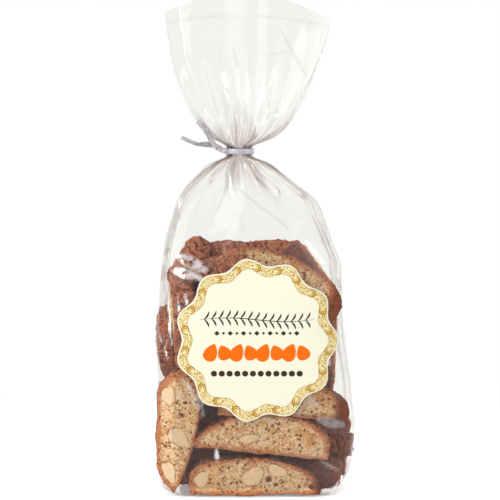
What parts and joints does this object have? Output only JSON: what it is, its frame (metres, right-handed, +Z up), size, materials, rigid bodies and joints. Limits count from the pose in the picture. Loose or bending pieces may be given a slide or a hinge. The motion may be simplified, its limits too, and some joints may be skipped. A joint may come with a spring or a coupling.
{
  "type": "clear bag of almond biscotti",
  "caption": "Clear block-bottom bag of almond biscotti, standing, gathered at the neck with a flat twist tie under a fanned film top, with a round scalloped label.",
  "frame": {"origin": "centre of the bounding box's base, on the surface the bag stands on", "axes": "+Z up along the bag's length, -Y out of the front with the label, +X to the right seen from the front"},
  "size_m": [0.1069, 0.0608, 0.267],
  "materials": {
    "film": "clear, glossy, lightly creased film",
    "label_paper": "cream paper with a light gloss",
    "label_gold": "gold-brown print",
    "label_orange": "orange print",
    "label_brown": "dark brown print",
    "tie": "satin silver-lilac",
    "biscuit": "dry baked crumb with a browner crust",
    "almond": "cut almond, dry"
  },
  "bodies": {
    "root": {"bag": "film", "label": "label_paper", "twist_tie": "tie"}
  },
  "joints": []
}
